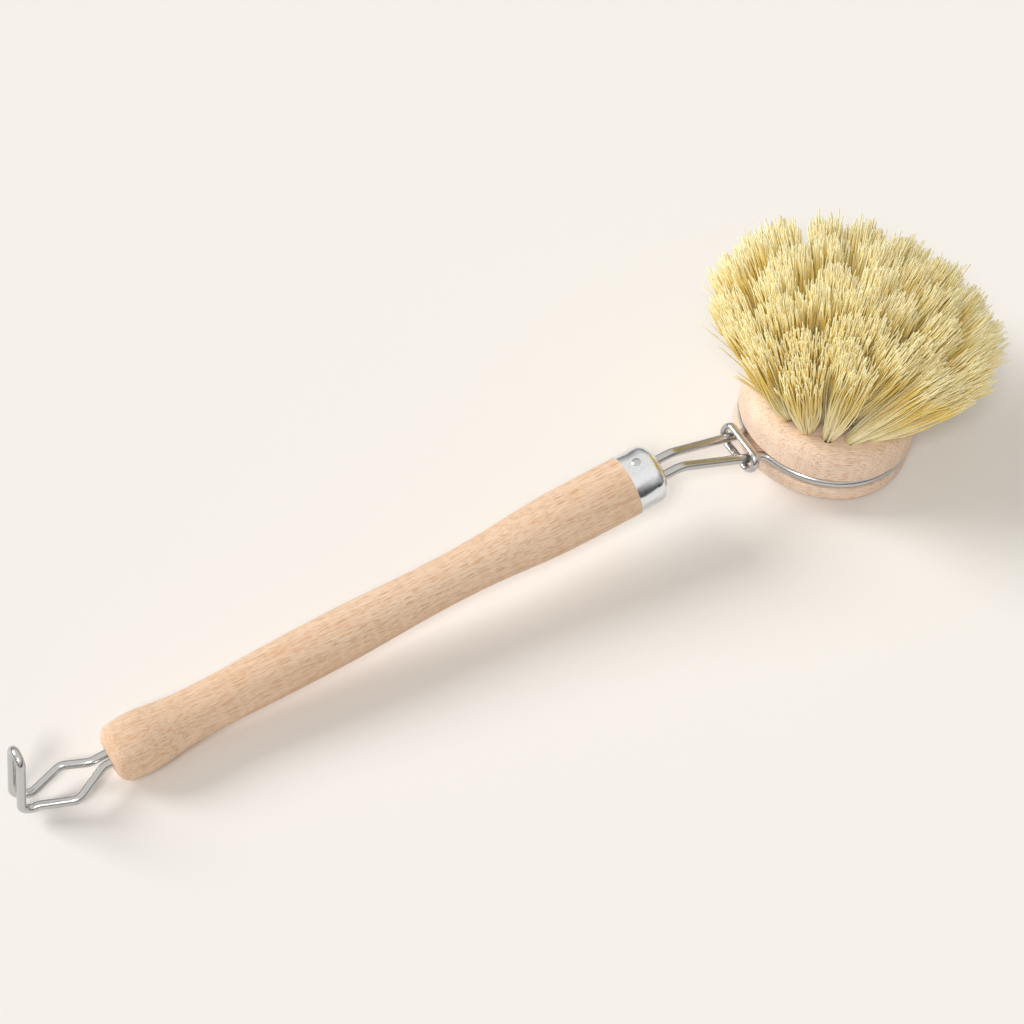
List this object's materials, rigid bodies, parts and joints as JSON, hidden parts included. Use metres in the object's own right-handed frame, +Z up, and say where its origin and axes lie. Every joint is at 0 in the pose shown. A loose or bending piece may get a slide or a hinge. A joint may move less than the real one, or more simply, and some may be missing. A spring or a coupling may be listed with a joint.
{
  "type": "dish brush",
  "caption": "Wooden dish brush with a turned handle, a wire hanging hook, wire arms with a sliding locking ring, and a round fibre head that turns and can be changed.",
  "frame": {"origin": "under the middle of the lying brush's box, on the surface that it lies on", "axes": "+X along the brush from its hook to its head, +Y to the left, +Z up; it lies bristles up"},
  "size_m": [0.2646, 0.0766, 0.0518],
  "materials": {
    "handle_beech": "sanded, unfinished",
    "block_beech": "sanded, unfinished",
    "tinplate": "bright",
    "wire": "plated, satin",
    "fibre": "matt plant fibre"
  },
  "bodies": {
    "handle": {"handle": "handle_beech", "ferrule": "tinplate", "ferrule_tack": "tinplate", "hanging_hook": "wire", "left_wire_leg": "wire", "right_wire_leg": "wire"},
    "locking_ring": {"locking_ring": "wire"},
    "left_arm": {"left_hoop_arm": "wire"},
    "right_arm": {"right_hoop_arm": "wire"},
    "head": {"head_block": "block_beech", "tuft_staples": "wire", "outer_tuft_01": "fibre", "outer_tuft_02": "fibre", "outer_tuft_03": "fibre", "outer_tuft_04": "fibre", "outer_tuft_05": "fibre", "outer_tuft_06": "fibre", "outer_tuft_07": "fibre", "outer_tuft_08": "fibre", "outer_tuft_09": "fibre", "outer_tuft_10": "fibre", "outer_tuft_11": "fibre", "outer_tuft_12": "fibre", "outer_tuft_13": "fibre", "outer_tuft_14": "fibre", "outer_tuft_15": "fibre", "outer_tuft_16": "fibre", "outer_tuft_17": "fibre", "outer_tuft_18": "fibre", "middle_tuft_01": "fibre", "middle_tuft_02": "fibre", "middle_tuft_03": "fibre", "middle_tuft_04": "fibre", "middle_tuft_05": "fibre", "middle_tuft_06": "fibre", "middle_tuft_07": "fibre", "middle_tuft_08": "fibre", "middle_tuft_09": "fibre", "middle_tuft_10": "fibre", "middle_tuft_11": "fibre", "middle_tuft_12": "fibre", "inner_tuft_01": "fibre", "inner_tuft_02": "fibre", "inner_tuft_03": "fibre", "inner_tuft_04": "fibre", "inner_tuft_05": "fibre", "inner_tuft_06": "fibre", "centre_tuft": "fibre"}
  },
  "joints": [
    {"name": "ring_slide", "type": "slide", "parent": "handle", "child": "locking_ring", "axis": [-0.9322, 0, 0.3621], "range_m": [0, 0.014]},
    {"name": "left_arm_open", "type": "hinge", "parent": "handle", "child": "left_arm", "pos_m": [0.03915, 0.0036, 0.02077], "axis": [0.1755, 0, 0.9845], "range_deg": [0, 3.6]},
    {"name": "right_arm_open", "type": "hinge", "parent": "handle", "child": "right_arm", "pos_m": [0.03915, -0.0036, 0.02077], "axis": [-0.1755, 0, -0.9845], "range_deg": [0, 3.6]},
    {"name": "head_spin", "type": "hinge", "parent": "handle", "child": "head", "pos_m": [0.08954, 0, 0.00895], "axis": [0.1755, 0, 0.9845], "continuous": true}
  ],
  "couplings": [
    {"joint": "left_arm_open", "follows": "ring_slide", "rad_per_m": 4.3633},
    {"joint": "right_arm_open", "follows": "ring_slide", "rad_per_m": 4.3633}
  ]
}
